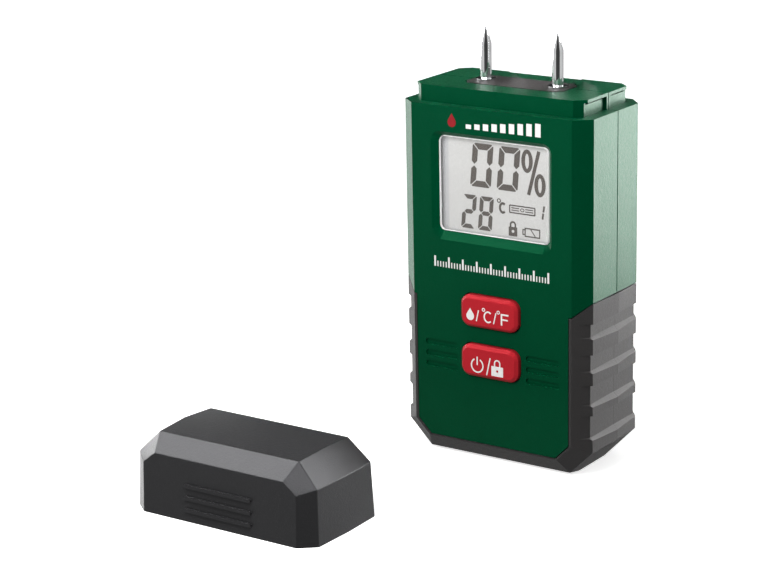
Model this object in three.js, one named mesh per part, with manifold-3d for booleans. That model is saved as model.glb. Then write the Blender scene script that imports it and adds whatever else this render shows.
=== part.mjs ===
// Pocket moisture meter with two electrode pins and a lift-off protective cap.
// Millimetres, +Z up. The meter stands on its base at z = 0 and its display faces -Y.
// The cap lies mouth down on the same surface, in front of the meter and to its left.

import * as THREE from 'three';
import { ConvexGeometry } from 'three/addons/geometries/ConvexGeometry.js';
import { mergeVertices } from 'three/addons/utils/BufferGeometryUtils.js';
import Module from 'manifold-3d';

const wasm = await Module();
wasm.setup();

// ---------------------------------------------------------------- driving dimensions

const GAP = 0.3;               // clearance kept between touching pieces
const SEAM = 0.15;             // half the visible joint between the two casings
const GRIP_SEAM = 0.01;        // half the joint between the two grips, which are squeezed together
const FAR = 60;                // reach of a cutting block beyond the object

const HALF_WIDTH = 23.0;
const HALF_DEPTH = 12.6;
const SHOULDER_Z = 78.05;
const HEAD_TOP_Z = 81.65;
const PARTING_Y = 0.48;
const BASE_EDGE_Z = 0.77;      // the underside rises to this at its front and rear edges
const FOOT_HALF_DEPTH = 5.5;   // flat strip that the meter stands on
const CORNER_CUT = 5.5;        // diagonal cut of the two bottom corners
const FRONT_BEVEL = { x: 3.5, y: 3.0 };
const BACK_BEVEL = { x: 3.15, y: 3.45 };
const THIN_WALL = 1.8;         // casing wall above the grips
const THICK_WALL = 2.8;        // casing and grip together
const GRIP_SKIN = 1.2;

const HEAD = { halfWidth: 20.75, halfDepth: 10.3, cutX: 2.28, cutY: 2.12, wall: 2.0 };
// Sunken panels in the short ends of the head.
const HEAD_PANEL = { depth: 0.6, rim: 0.65, rib: 0.8, groove: 0.45, grooveDepth: 1.5 };
const HEAD_NOTCH = { halfWidth: 9, depth: 0.7, height: 0.8 };   // in the rear edge of the head

const GRIP_FACE_X = 18.8;      // where the grip starts on the front and rear faces
const GRIP_FACE_Z = 4.67;
const GRIP_FACE_CUT = 3.2;
const GRIP_FACE_TOP_Z = 36.05;
const GRIP_SIDE_TOP_Z = 39.1;
const GRIP_CROWN = 0.4;        // the grip's sides stand proud by this at the parting line
const RECESS = { count: 4, topZ: 34.58, pitch: 6.7, height: 2.8, growth: 0.7, depth: 0.6 };
const RECESS_FADE = 0.67;      // share of the edge bevel that a recess runs across

const WINDOW = { x: 0.3, z: 61.2, width: 27.0, height: 20.8, radius: 1.3 };
const FRAME = { x: 0, z: 60.75, width: 29.4, height: 23.5, radius: 2.2, depth: 0.9 };
const LENS = { width: 30.0, height: 24.0, thick: 0.8, wall: 1.1, proud: 0.25, play: 0.15, radius: 0.8 };
const LCD = { width: 30.0, height: 24.0, thick: 2.0, holderRim: 1.3 };
const CONNECTOR = { inset: 1.0, rise: 0.8, height: 2.0 };   // rubber strip behind the display's lower edge

const BUTTON = { width: 14.1, height: 7.05, radius: 2.2, proud: 1.4, clearance: 0.25, bevel: 0.7 };
const KEY = { lip: 1.0, coreWidth: 10, coreHeight: 5, cornerRadius: 1 };   // the hidden back of a button
const MODE_Z = 34.5;
const POWER_Z = 23.5;
const SLIT = { x: 12.6, length: 8.2, height: 1.25, depth: 0.4, topZ: 25.7, pitch: 2.47, count: 3 };

const PIN = {
  spacing: 17.58, y: 0.2, radius: 1.22, tipZ: 93.45, cone: 4.0, stem: 0.95,
  flange: 2.15, flangeEdge: 0.28, flangeTop: 0.5, tipRadius: 0.12, tipRound: 0.1,
};
const SOCKET = { radius: 2.2, bore: 1.15, bottomZ: 72.5, topZ: 79.3, floor: 0.9 };
const STRIP = { halfWidth: 1.5, thick: 0.4, drop: 5.0, reach: 2.0 };   // contact from a socket to the board
const HOLDER = { halfWidth: 11.8, halfDepth: 4.6, cut: 1.7, topZ: 81.7 };
const HOLDER_STEM = { halfWidth: 11.3, halfDepth: 3.5 };

const BOARD = { front: -5.9, thick: 1.2, halfWidth: 18.8, bottomZ: 16.5, topZ: 75.0 };
const SWITCH = { size: 6.0, front: -7.6, boreDepth: 1.1 };
const PLUNGER = { radius: 1.7, play: 0.2, proud: 0.9 };

const CELL = { radius: 5.25, length: 44.5, nubRadius: 1.9, nub: 0.8, round: 0.5, x: 5.6, y: 4.7 };
const SPRING = { wire: 0.28, wideRadius: 3.4, narrowRadius: 2.1, turns: 2.75, steps: 66 };
const CONTACT = { halfDepth: 3.8, thick: 0.4, outerX: 10.5, innerX: 1.2 };
const BAY = { halfWidth: 11.7, bottomZ: 11.5, topZ: 61.7, floorY: -1.2, wall: 1.5 };
const DOOR = { halfWidth: 12.8, bottomZ: 9.6, topZ: 63.4, thick: 1.5 };
const DOOR_TAB = { x: 7.5, halfWidth: 1.6, drop: 1.8, thick: 1.3 };
const DOOR_LATCH = { halfWidth: 4.0, rise: 1.6, thick: 1.2 };
const DOOR_RIDGE = { width: 11, height: 1.1, radius: 0.5, proud: 0.35, top: 5.0, pitch: 2.3, count: 4 };

const CASE_SCREW = {
  x: 16.0, lowZ: 12.0, highZ: 43.4, head: 1.8, headThick: 1.3, shank: 0.9, tipY: -7, boss: 2.2, sink: 2.6,
};
const BOARD_SCREW = { x: 15.5, z: 21.0, head: 1.7, headThick: 1.1, shank: 0.8, tipY: -10, boss: 2.1 };
// The crossed slots of the screw heads.
const CROSS = { halfWidth: 0.25, caseLength: 2.2, boardLength: 2.0, floor: 0.55 };

const CAP = {
  x: -28.0, y: -60.1,
  halfWidth: 23.0, halfDepth: 12.64, cutX: 3.5, cutY: 2.8,
  sideX: 22.6, wallY: 12.18, sideTopZ: 11.9, wallTopZ: 13.2,
  roofX: 17.7, roofY: 8.47, roofZ: 16.7, roofMidZ: 17.1,
  foldX: 16.3, cornerX: 19.4, cornerZ: 10.8, bulge: 0.3,
  wall: 1.75, ribX: 8.5, ribLowZ: 2.6, ribPitch: 2.6, ribHeight: 0.75, ribProud: 0.55, ribCount: 3,
};

// ---------------------------------------------------------------- colours and finishes

function finish(color, roughness, metalness) {
  return new THREE.MeshStandardMaterial({ color, roughness, metalness });
}

const greenPlastic = () => finish(0x04502f, 0.45, 0);
const gripRubber = () => finish(0x4a4a4a, 0.75, 0);
const capPlastic = () => finish(0x3a3a3b, 0.55, 0);
const redPlastic = () => finish(0xc42a33, 0.4, 0);
const clearPlastic = () => finish(0xd8dcdc, 0.1, 0);
const displayGlass = () => finish(0xd3d1cf, 0.3, 0);
const whitePlastic = () => finish(0xe4e4e0, 0.5, 0);
const darkPlastic = () => finish(0x2d2d2e, 0.55, 0);
const pinSteel = () => finish(0xd0d2d4, 0.2, 1);
const brass = () => finish(0xc2a052, 0.35, 1);
const springSteel = () => finish(0xb8babb, 0.3, 1);
const boardGreen = () => finish(0x1d5a34, 0.5, 0);
const cellSleeve = () => finish(0x7d8790, 0.35, 0.3);
const screwSteel = () => finish(0x8d8f92, 0.35, 1);

// ---------------------------------------------------------------- solids and helpers

function solid(geometry) {
  const bare = geometry.index ? geometry.toNonIndexed() : geometry.clone();
  bare.deleteAttribute('normal');
  bare.deleteAttribute('uv');
  const merged = mergeVertices(bare, 1e-5);
  return new wasm.Manifold(new wasm.Mesh({
    numProp: 3,
    vertProperties: new Float32Array(merged.attributes.position.array),
    triVerts: new Uint32Array(merged.index.array),
  }));
}

function meshOf(name, shape, material) {
  const data = shape.getMesh();
  const geometry = new THREE.BufferGeometry();
  geometry.setAttribute('position', new THREE.BufferAttribute(new Float32Array(data.vertProperties), 3));
  geometry.setIndex(new THREE.BufferAttribute(new Uint32Array(data.triVerts), 1));
  geometry.computeVertexNormals();
  const mesh = new THREE.Mesh(geometry, material);
  mesh.name = name;
  return mesh;
}

function block(x0, x1, y0, y1, z0, z1) {
  const geometry = new THREE.BoxGeometry(x1 - x0, y1 - y0, z1 - z0);
  geometry.translate((x0 + x1) / 2, (y0 + y1) / 2, (z0 + z1) / 2);
  return solid(geometry);
}

function slab(z0, z1) {
  return block(-FAR, FAR, -FAR, FAR, z0, z1);
}

function hull(points) {
  return solid(new ConvexGeometry(points));
}

function outline(points) {
  return new THREE.Shape(points.map(([a, b]) => new THREE.Vector2(a, b)));
}

function roundedRect(width, height, radius) {
  const x = width / 2 - radius;
  const y = height / 2 - radius;
  const shape = new THREE.Shape();
  shape.absarc(x, y, radius, 0, Math.PI / 2);
  shape.absarc(-x, y, radius, Math.PI / 2, Math.PI);
  shape.absarc(-x, -y, radius, Math.PI, Math.PI * 1.5);
  shape.absarc(x, -y, radius, Math.PI * 1.5, Math.PI * 2);
  return shape;
}

function extrude(shape, depth, bevel = 0) {
  return new THREE.ExtrudeGeometry(shape, {
    depth: depth - bevel,
    curveSegments: 6,
    bevelEnabled: bevel > 0,
    bevelThickness: bevel,
    bevelSize: bevel,
    bevelOffset: -bevel,
    bevelSegments: 1,
  });
}

// The shape's x and y become the object's x and z, between the depths y0 and y1.
function facePlate(shape, x, z, y0, y1) {
  const geometry = extrude(shape, y1 - y0);
  geometry.rotateX(Math.PI / 2);
  geometry.translate(x, y1, z);
  return solid(geometry);
}

function rod(radius, axis, start, end, across, sides = 24) {
  const geometry = new THREE.CylinderGeometry(radius, radius, end - start, sides);
  geometry.translate(0, (start + end) / 2, 0);
  if (axis === 'z') {
    geometry.rotateX(Math.PI / 2);
    geometry.translate(across[0], across[1], 0);
  } else {
    geometry.translate(across[0], 0, across[1]);
  }
  return solid(geometry);
}

function turned(profile, x, y, sides = 28) {
  const geometry = new THREE.LatheGeometry(profile.map(([r, z]) => new THREE.Vector2(r, z)), sides);
  geometry.rotateX(Math.PI / 2);
  geometry.translate(x, y, 0);
  return solid(geometry);
}

function joined(shapes) {
  return shapes.reduce((whole, shape) => whole.add(shape));
}

function cutBy(shape, tools) {
  return shape.subtract(joined(tools));
}

const SIDES = [-1, 1];

// ---------------------------------------------------------------- form of the casing

// An edge bevel shrinks by this factor when all faces of the casing move in by inset.
function bevelScale(bevel, inset) {
  const diagonal = Math.hypot(bevel.x, bevel.y);
  return 1 - inset * (bevel.x + bevel.y - diagonal) / (bevel.x * bevel.y);
}

// Half of an upright outline: width from the middle, height of the lower edge, corner cut.
function uprightOutline(halfWidth, bottom, cut, top) {
  return SIDES.flatMap((side) => [
    [side * halfWidth, top],
    [side * halfWidth, bottom + cut],
    [side * (halfWidth - cut), bottom],
  ]);
}

function caseHull(inset, top, crown = 0) {
  const width = HALF_WIDTH - inset;
  const depth = HALF_DEPTH - inset;
  const bottom = BASE_EDGE_Z + inset;
  const cut = CORNER_CUT - inset * (2 - Math.SQRT2);
  const points = [];
  for (const [side, bevel] of [[-1, FRONT_BEVEL], [1, BACK_BEVEL]]) {
    const scale = bevelScale(bevel, inset);
    const bx = bevel.x * scale;
    const by = bevel.y * scale;
    const faceCut = Math.max(cut - bx * (2 - Math.SQRT2), 0.1);
    for (const [x, z] of uprightOutline(width, bottom, cut, top)) {
      points.push(new THREE.Vector3(x, side * (depth - by), z));
    }
    for (const [x, z] of uprightOutline(width - bx, bottom + bx, faceCut, top)) {
      points.push(new THREE.Vector3(x, side * depth, z));
    }
    for (const x of [cut - width, width - cut]) {
      points.push(new THREE.Vector3(x, side * FOOT_HALF_DEPTH, inset));
    }
  }
  if (crown > 0) {
    for (const x of [-width - crown, width + crown]) {
      points.push(new THREE.Vector3(x, PARTING_Y, bottom + cut));
      points.push(new THREE.Vector3(x, PARTING_Y, top));
    }
  }
  return hull(points);
}

function headHull(inset, bottom, top) {
  const w = HEAD.halfWidth - inset;
  const d = HEAD.halfDepth - inset;
  const cutX = HEAD.cutX - inset * 0.5;
  const cutY = HEAD.cutY - inset * 0.5;
  const shape = outline([
    [w - cutX, -d], [w, -d + cutY], [w, d - cutY], [w - cutX, d],
    [-w + cutX, d], [-w, d - cutY], [-w, -d + cutY], [-w + cutX, -d],
  ]);
  const geometry = extrude(shape, top - bottom);
  geometry.translate(0, 0, bottom);
  return solid(geometry);
}

// The upright band of x and z that the grips fill, on both sides and along the bottom.
function gripZone(margin) {
  const x = GRIP_FACE_X - margin;
  const z = GRIP_FACE_Z + margin;
  const cut = GRIP_FACE_CUT;
  const faceTop = GRIP_FACE_TOP_Z + margin;
  const sideTop = GRIP_SIDE_TOP_Z + margin;
  const zone = outline([
    [-FAR, -FAR], [FAR, -FAR], [FAR, sideTop], [HALF_WIDTH - 0.1, sideTop],
    [x + 0.6, faceTop + 0.1], [x, faceTop],
    [x, z + cut], [x - cut, z], [cut - x, z], [-x, z + cut],
    [-x, faceTop], [-x - 0.6, faceTop + 0.1], [0.1 - HALF_WIDTH, sideTop], [-FAR, sideTop],
  ]);
  return facePlate(zone, 0, 0, -FAR, FAR);
}

function frontHalf(seam) {
  return block(-FAR, FAR, -FAR, PARTING_Y - seam, -FAR, 2 * FAR);
}

function rearHalf(seam) {
  return block(-FAR, FAR, PARTING_Y + seam, FAR, -FAR, 2 * FAR);
}

function planAt(points, z) {
  return points.map(([x, y]) => new THREE.Vector3(x, y, z));
}

// One recess between two raised bands: square under the upper band, sloped onto the lower one.
function gripRecess(index) {
  const top = RECESS.topZ - index * RECESS.pitch;
  const bottom = top - RECESS.height - index * RECESS.growth;
  const w = HALF_WIDTH - RECESS.depth;
  const out = 3;
  const core = [];
  for (const [side, bevel] of [[-1, FRONT_BEVEL], [1, BACK_BEVEL]]) {
    const fadeX = HALF_WIDTH - bevel.x * RECESS_FADE;
    const fadeY = HALF_DEPTH - bevel.y * (1 - RECESS_FADE);
    const lean = (fadeY - (HALF_DEPTH - bevel.y)) / (fadeX - w);
    for (const end of SIDES) {
      core.push([end * w, side * (HALF_DEPTH - bevel.y)]);
      core.push([end * fadeX, side * fadeY]);
      core.push([end * (fadeX - out), side * (fadeY - lean * out)]);
    }
  }
  const spread = core.map(([x, y]) => [x + Math.sign(x) * out, y + Math.sign(y) * out]);
  const around = hull([...planAt(spread, bottom - out), ...planAt(spread, top)]);
  const slope = hull([...planAt(core, bottom), ...planAt(spread, bottom - out)]);
  return cutBy(around, [slope, hull([...planAt(core, -FAR), ...planAt(core, FAR)])]);
}

function gripBody() {
  const skin = caseHull(0, SHOULDER_Z, GRIP_CROWN).subtract(caseHull(GRIP_SKIN, SHOULDER_Z));
  const recesses = [];
  for (let i = 0; i < RECESS.count; i += 1) {
    recesses.push(gripRecess(i));
  }
  return cutBy(skin.intersect(gripZone(-0.1)), recesses);
}

// Sunken panels in the head's short ends: open at the corners, with a groove under the rim.
function headPanels() {
  const top = HEAD_TOP_Z - HEAD_PANEL.rim;
  const cuts = [];
  for (const side of SIDES) {
    for (const end of SIDES) {
      const rib = PARTING_Y + end * HEAD_PANEL.rib;
      const cut = (depth, farY, bottom) => {
        const x = [side * (HEAD.halfWidth - depth), side * FAR].sort((a, b) => a - b);
        const y = [rib, end * farY].sort((a, b) => a - b);
        return block(x[0], x[1], y[0], y[1], bottom, top);
      };
      cuts.push(cut(HEAD_PANEL.depth, FAR, SHOULDER_Z));
      cuts.push(cut(HEAD_PANEL.grooveDepth, HEAD.halfDepth - HEAD.cutY, top - HEAD_PANEL.groove));
    }
  }
  return cuts;
}

function caseBody() {
  const outside = caseHull(0, SHOULDER_Z).add(headHull(0, SHOULDER_Z - 5, HEAD_TOP_Z));
  const gripSeat = gripZone(0.05).subtract(caseHull(GRIP_SKIN + 0.2, SHOULDER_Z));
  const split = GRIP_SIDE_TOP_Z + 3;
  const ceiling = SHOULDER_Z - THIN_WALL;
  const upper = caseHull(THIN_WALL, ceiling).intersect(slab(split, FAR * 2));
  const lower = caseHull(THICK_WALL, ceiling).intersect(slab(-FAR, split + 1));
  const neck = headHull(HEAD.wall + 0.4, SHOULDER_Z - 5, HEAD_TOP_Z - HEAD.wall);
  const { halfWidth, depth, height } = HEAD_NOTCH;
  const notch = block(-halfWidth, halfWidth, HEAD.halfDepth - depth, FAR, HEAD_TOP_Z - height, FAR * 2);
  return cutBy(outside, [gripSeat, upper, lower, neck, notch, ...headPanels()]);
}

// ---------------------------------------------------------------- casing pieces

function holderSeat(clearance) {
  const w = HOLDER.halfWidth + clearance;
  const d = HOLDER.halfDepth + clearance;
  const c = HOLDER.cut;
  const plate = extrude(outline([
    [w - c, -d], [w, -d + c], [w, d - c], [w - c, d],
    [-w + c, d], [-w, d - c], [-w, -d + c], [-w + c, -d],
  ]), HOLDER.topZ - HEAD_TOP_Z + 1.2 + clearance);
  plate.translate(0, PIN.y, HEAD_TOP_Z - 1.2 - clearance);
  const sw = HOLDER_STEM.halfWidth + clearance;
  const sd = HOLDER_STEM.halfDepth + clearance;
  const stemLow = SOCKET.bottomZ - clearance;
  return solid(plate).add(block(-sw, sw, PIN.y - sd, PIN.y + sd, stemLow, HEAD_TOP_Z - 1));
}

function slits() {
  const cuts = [];
  for (const side of SIDES) {
    for (let i = 0; i < SLIT.count; i += 1) {
      const shape = roundedRect(SLIT.length, SLIT.height, SLIT.height / 2 - 0.01);
      const z = SLIT.topZ - i * SLIT.pitch;
      cuts.push(facePlate(shape, side * SLIT.x, z, -FAR, SLIT.depth - HALF_DEPTH));
    }
  }
  return cuts;
}

// The sunken frame narrows from the face of the casing to the edge of the window.
function displayRecess() {
  const outer = roundedRect(FRAME.width, FRAME.height, FRAME.radius).getPoints(4);
  const inner = roundedRect(WINDOW.width, WINDOW.height, WINDOW.radius).getPoints(4);
  const over = 0.4;
  const points = [];
  for (const p of outer) {
    points.push(new THREE.Vector3(FRAME.x + p.x, -HALF_DEPTH, FRAME.z + p.y));
    points.push(new THREE.Vector3(FRAME.x + p.x, -HALF_DEPTH - over, FRAME.z + p.y));
  }
  for (const p of inner) {
    points.push(new THREE.Vector3(WINDOW.x + p.x, FRAME.depth - HALF_DEPTH, WINDOW.z + p.y));
  }
  return hull(points);
}

function screwPlaces() {
  const heights = [CASE_SCREW.lowZ, CASE_SCREW.highZ];
  return heights.flatMap((z) => SIDES.map((side) => [side * CASE_SCREW.x, z]));
}

function frontShell() {
  const inner = THIN_WALL - HALF_DEPTH;
  const innerLow = THICK_WALL - HALF_DEPTH;
  const body = caseBody().intersect(frontHalf(SEAM));
  const opening = roundedRect(WINDOW.width, WINDOW.height, WINDOW.radius);
  const pocket = roundedRect(LENS.width + 2 * GAP, LENS.height + 2 * GAP, 1);
  const holes = [displayRecess(), ...slits(), holderSeat(GAP)];
  holes.push(facePlate(opening, WINDOW.x, WINDOW.z, -FAR, inner + 1));
  holes.push(facePlate(pocket, WINDOW.x, WINDOW.z, LENS.wall - HALF_DEPTH, inner + 1));
  for (const z of [MODE_Z, POWER_Z]) {
    const play = BUTTON.clearance;
    const shape = roundedRect(BUTTON.width + 2 * play, BUTTON.height + 2 * play, BUTTON.radius + play);
    holes.push(facePlate(shape, 0, z, -FAR, innerLow + 1));
  }
  const root = innerLow - 1.3;
  const posts = screwPlaces().map((place) => rod(CASE_SCREW.boss, 'y', root, PARTING_Y - SEAM, place));
  for (const side of SIDES) {
    posts.push(rod(BOARD_SCREW.boss, 'y', root, BOARD.front - GAP, [side * BOARD_SCREW.x, BOARD_SCREW.z]));
  }
  const bores = screwPlaces().map((place) => rod(CASE_SCREW.shank + GAP, 'y', -8, PARTING_Y + 2, place));
  for (const side of SIDES) {
    bores.push(rod(BOARD_SCREW.shank + GAP, 'y', -10.6, -4, [side * BOARD_SCREW.x, BOARD_SCREW.z]));
  }
  return cutBy(joined([cutBy(body, holes), ...posts]), bores);
}

function rearShell() {
  const inner = HALF_DEPTH - THIN_WALL;
  const outerX = BAY.halfWidth + BAY.wall;
  const tray = block(
    -outerX, outerX, BAY.floorY - BAY.wall, inner + 0.1, BAY.bottomZ - BAY.wall, BAY.topZ + BAY.wall,
  );
  const bossRadius = CASE_SCREW.boss + 0.5;
  const posts = screwPlaces().map((place) => rod(bossRadius, 'y', PARTING_Y + SEAM, inner + 1, place));
  const solidBody = joined([caseBody().intersect(rearHalf(SEAM)), tray, ...posts]);
  const ledge = HALF_DEPTH - DOOR.thick - GAP;
  const cuts = [holderSeat(GAP)];
  cuts.push(block(-BAY.halfWidth, BAY.halfWidth, BAY.floorY, FAR, BAY.bottomZ, BAY.topZ));
  cuts.push(block(
    -DOOR.halfWidth - GAP, DOOR.halfWidth + GAP, ledge, FAR, DOOR.bottomZ - GAP, DOOR.topZ + GAP,
  ));
  for (const side of SIDES) {
    const x = side * DOOR_TAB.x;
    const w = DOOR_TAB.halfWidth + GAP;
    const low = DOOR.bottomZ - DOOR_TAB.drop - GAP;
    cuts.push(block(x - w, x + w, ledge - DOOR_TAB.thick - 2, ledge + 0.1, low, BAY.bottomZ + 0.1));
  }
  const latch = DOOR_LATCH.halfWidth + GAP;
  const latchTop = DOOR.topZ + DOOR_LATCH.rise + GAP;
  cuts.push(block(-latch, latch, ledge - DOOR_LATCH.thick - GAP, FAR, DOOR.topZ - 2.5, latchTop));
  for (const [x, z] of screwPlaces()) {
    cuts.push(rod(CASE_SCREW.shank + GAP, 'y', -1, FAR, [x, z]));
    cuts.push(rod(CASE_SCREW.head + GAP, 'y', HALF_DEPTH - CASE_SCREW.sink, FAR, [x, z]));
  }
  return cutBy(solidBody, cuts);
}

function displayWindow() {
  const back = LENS.wall - HALF_DEPTH + GAP;
  const front = FRAME.depth - HALF_DEPTH - LENS.proud;
  const rim = roundedRect(LENS.width, LENS.height, LENS.radius);
  const flange = facePlate(rim, WINDOW.x, WINDOW.z, back, back + LENS.thick);
  const face = roundedRect(WINDOW.width - 2 * LENS.play, WINDOW.height - 2 * LENS.play, WINDOW.radius);
  return flange.add(facePlate(face, WINDOW.x, WINDOW.z, front, back + 0.1));
}

const LCD_FRONT = LENS.wall - HALF_DEPTH + GAP + LENS.thick + GAP;

function behindWindow(halfWidth, halfHeight, y0, y1) {
  const { x, z } = WINDOW;
  return block(x - halfWidth, x + halfWidth, y0, y1, z - halfHeight, z + halfHeight);
}

function lcdPanel() {
  return behindWindow(LCD.width / 2, LCD.height / 2, LCD_FRONT, LCD_FRONT + LCD.thick);
}

function lcdHolder() {
  const w = LCD.width / 2 + GAP;
  const h = LCD.height / 2 + GAP;
  const rim = LCD.holderRim;
  const front = THIN_WALL - HALF_DEPTH + GAP;
  const back = BOARD.front - GAP;
  return behindWindow(w + rim, h + rim, front, back).subtract(behindWindow(w, h, -FAR, FAR));
}

function lcdConnector() {
  const z = WINDOW.z - LCD.height / 2 + CONNECTOR.rise;
  const half = LCD.width / 2 - CONNECTOR.inset;
  const front = LCD_FRONT + LCD.thick + GAP / 2;
  return block(WINDOW.x - half, WINDOW.x + half, front, BOARD.front - GAP / 2, z, z + CONNECTOR.height);
}

// ---------------------------------------------------------------- board and what is on it

const BOARD_BACK = BOARD.front + BOARD.thick;

function circuitBoard() {
  const { halfWidth, front, bottomZ, topZ } = BOARD;
  const plate = block(-halfWidth, halfWidth, front, BOARD_BACK, bottomZ, topZ);
  const cuts = [];
  for (const side of SIDES) {
    cuts.push(rod(BOARD_SCREW.shank + GAP, 'y', -8, 0, [side * BOARD_SCREW.x, BOARD_SCREW.z]));
    cuts.push(rod(CASE_SCREW.boss + GAP, 'y', -8, 0, [side * CASE_SCREW.x, CASE_SCREW.highZ]));
    const x = [side * CASE_SCREW.x, side * FAR].sort((a, b) => a - b);
    const half = CASE_SCREW.boss + GAP;
    cuts.push(block(x[0], x[1], -8, 0, CASE_SCREW.highZ - half, CASE_SCREW.highZ + half));
  }
  return cutBy(plate, cuts);
}

function boardPart(x, z, width, height, thick) {
  const y = BOARD_BACK + 0.1;
  return block(x - width / 2, x + width / 2, y, y + thick, z - height / 2, z + height / 2);
}

function controllerChip() {
  const dome = [];
  const radius = 4.5;
  const height = 1.3;
  for (let i = 0; i <= 5; i += 1) {
    const turn = i * Math.PI / 10;
    dome.push([radius * Math.cos(turn), height * Math.sin(turn)]);
  }
  const geometry = new THREE.LatheGeometry(
    [[0, 0], ...dome.slice(0, -1), [0, height]].map(([r, y]) => new THREE.Vector2(r, y)), 28,
  );
  geometry.translate(0, BOARD_BACK + 0.1, 67.5);
  return solid(geometry);
}

function quartzCrystal() {
  const radius = 1.0;
  return rod(radius, 'z', 29, 35, [16.4, BOARD_BACK + radius + 0.2]);
}

function tactSwitch(z) {
  const half = SWITCH.size / 2;
  const body = block(-half, half, SWITCH.front, BOARD.front - 0.1, z - half, z + half);
  const boreEnd = SWITCH.front + SWITCH.boreDepth;
  return body.subtract(rod(PLUNGER.radius + PLUNGER.play, 'y', -FAR, boreEnd, [0, z]));
}

function switchPlunger(z) {
  return rod(PLUNGER.radius, 'y', SWITCH.front - PLUNGER.proud, SWITCH.front + GAP, [0, z]);
}

function keyCap(z) {
  const flangeFront = THICK_WALL - HALF_DEPTH + GAP;
  const flangeBack = SWITCH.front - PLUNGER.proud - GAP;
  const keyShape = roundedRect(BUTTON.width, BUTTON.height, BUTTON.radius);
  const top = extrude(keyShape, BUTTON.proud + HALF_DEPTH + flangeFront, BUTTON.bevel);
  top.rotateX(Math.PI / 2);
  top.translate(0, flangeFront, z);
  const round = KEY.cornerRadius;
  const lip = roundedRect(BUTTON.width + 2 * KEY.lip, BUTTON.height + 2 * KEY.lip, round);
  const flange = facePlate(lip, 0, z, flangeFront, flangeBack);
  const middle = roundedRect(KEY.coreWidth, KEY.coreHeight, round);
  const core = facePlate(middle, 0, z, flangeFront - 0.4, flangeBack);
  // Only the front bevel of the extrusion is kept.
  const ahead = block(-FAR, FAR, -FAR, flangeFront + 0.1, 0, FAR);
  return joined([solid(top).intersect(ahead), flange, core]);
}

// ---------------------------------------------------------------- electrodes

function electrodeHolder() {
  const bores = SIDES.flatMap((side) => [
    rod(SOCKET.radius + GAP, 'z', 0, SOCKET.topZ + GAP, [side * PIN.spacing / 2, PIN.y]),
    rod(PIN.stem + GAP, 'z', 0, FAR * 2, [side * PIN.spacing / 2, PIN.y]),
  ]);
  return cutBy(holderSeat(0), bores);
}

function electrodePin(side) {
  const base = HOLDER.topZ + 0.1;
  const shoulder = PIN.tipZ - PIN.cone;
  const low = SOCKET.bottomZ + 1.2;
  return turned([
    [0, low], [PIN.stem, low], [PIN.stem, base], [PIN.flange, base], [PIN.flange, base + PIN.flangeEdge],
    [PIN.radius, base + PIN.flangeTop], [PIN.radius, shoulder],
    [PIN.tipRadius, PIN.tipZ - PIN.tipRound], [0, PIN.tipZ],
  ], side * PIN.spacing / 2, PIN.y);
}

function pinSocket(side) {
  const { radius, bore, bottomZ, topZ, floor } = SOCKET;
  return turned([
    [0, bottomZ], [radius, bottomZ], [radius, topZ],
    [bore, topZ], [bore, bottomZ + floor], [0, bottomZ + floor],
  ], side * PIN.spacing / 2, PIN.y);
}

function contactStrip(side) {
  const { halfWidth, thick, drop, reach } = STRIP;
  const x = side * PIN.spacing / 2;
  const top = SOCKET.bottomZ - GAP;
  const y = BOARD_BACK + GAP / 2;
  const flat = block(x - halfWidth, x + halfWidth, y, PIN.y + reach, top - thick, top);
  return flat.add(block(x - halfWidth, x + halfWidth, y, y + thick, top - drop, top - thick / 2));
}

// ---------------------------------------------------------------- battery bay

const LOW_PLATE_Z = BAY.bottomZ + GAP;
const HIGH_PLATE_Z = BAY.topZ - GAP - CONTACT.thick;

function cell(x, flatZ, nubUp) {
  const way = nubUp ? 1 : -1;
  const body = CELL.length - CELL.nub;
  const at = (r, along) => [r, flatZ + way * along];
  const profile = [
    at(0, 0), at(CELL.radius - CELL.round, 0), at(CELL.radius, CELL.round),
    at(CELL.radius, body - CELL.round), at(CELL.radius - CELL.round, body), at(CELL.nubRadius, body),
    at(CELL.nubRadius, CELL.length), at(0, CELL.length),
  ];
  return turned(nubUp ? profile : profile.reverse(), x, CELL.y);
}

class ConeCoil extends THREE.Curve {
  constructor(x, startZ, endZ) {
    super();
    this.x = x;
    this.startZ = startZ;
    this.endZ = endZ;
  }

  getPoint(t, target = new THREE.Vector3()) {
    const radius = SPRING.wideRadius + (SPRING.narrowRadius - SPRING.wideRadius) * t;
    const turn = t * Math.PI * 2 * SPRING.turns;
    return target.set(
      this.x + radius * Math.cos(turn),
      CELL.y + radius * Math.sin(turn),
      this.startZ + (this.endZ - this.startZ) * t,
    );
  }
}

function coilSpring(x, startZ, endZ) {
  const wire = new THREE.Shape();
  wire.absarc(0, 0, SPRING.wire, 0, Math.PI * 2);
  return solid(new THREE.ExtrudeGeometry(wire, {
    steps: SPRING.steps, curveSegments: 3, bevelEnabled: false, extrudePath: new ConeCoil(x, startZ, endZ),
  }));
}

function contactPlate(x0, x1, z) {
  return block(x0, x1, CELL.y - CONTACT.halfDepth, CELL.y + CONTACT.halfDepth, z, z + CONTACT.thick);
}

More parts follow.
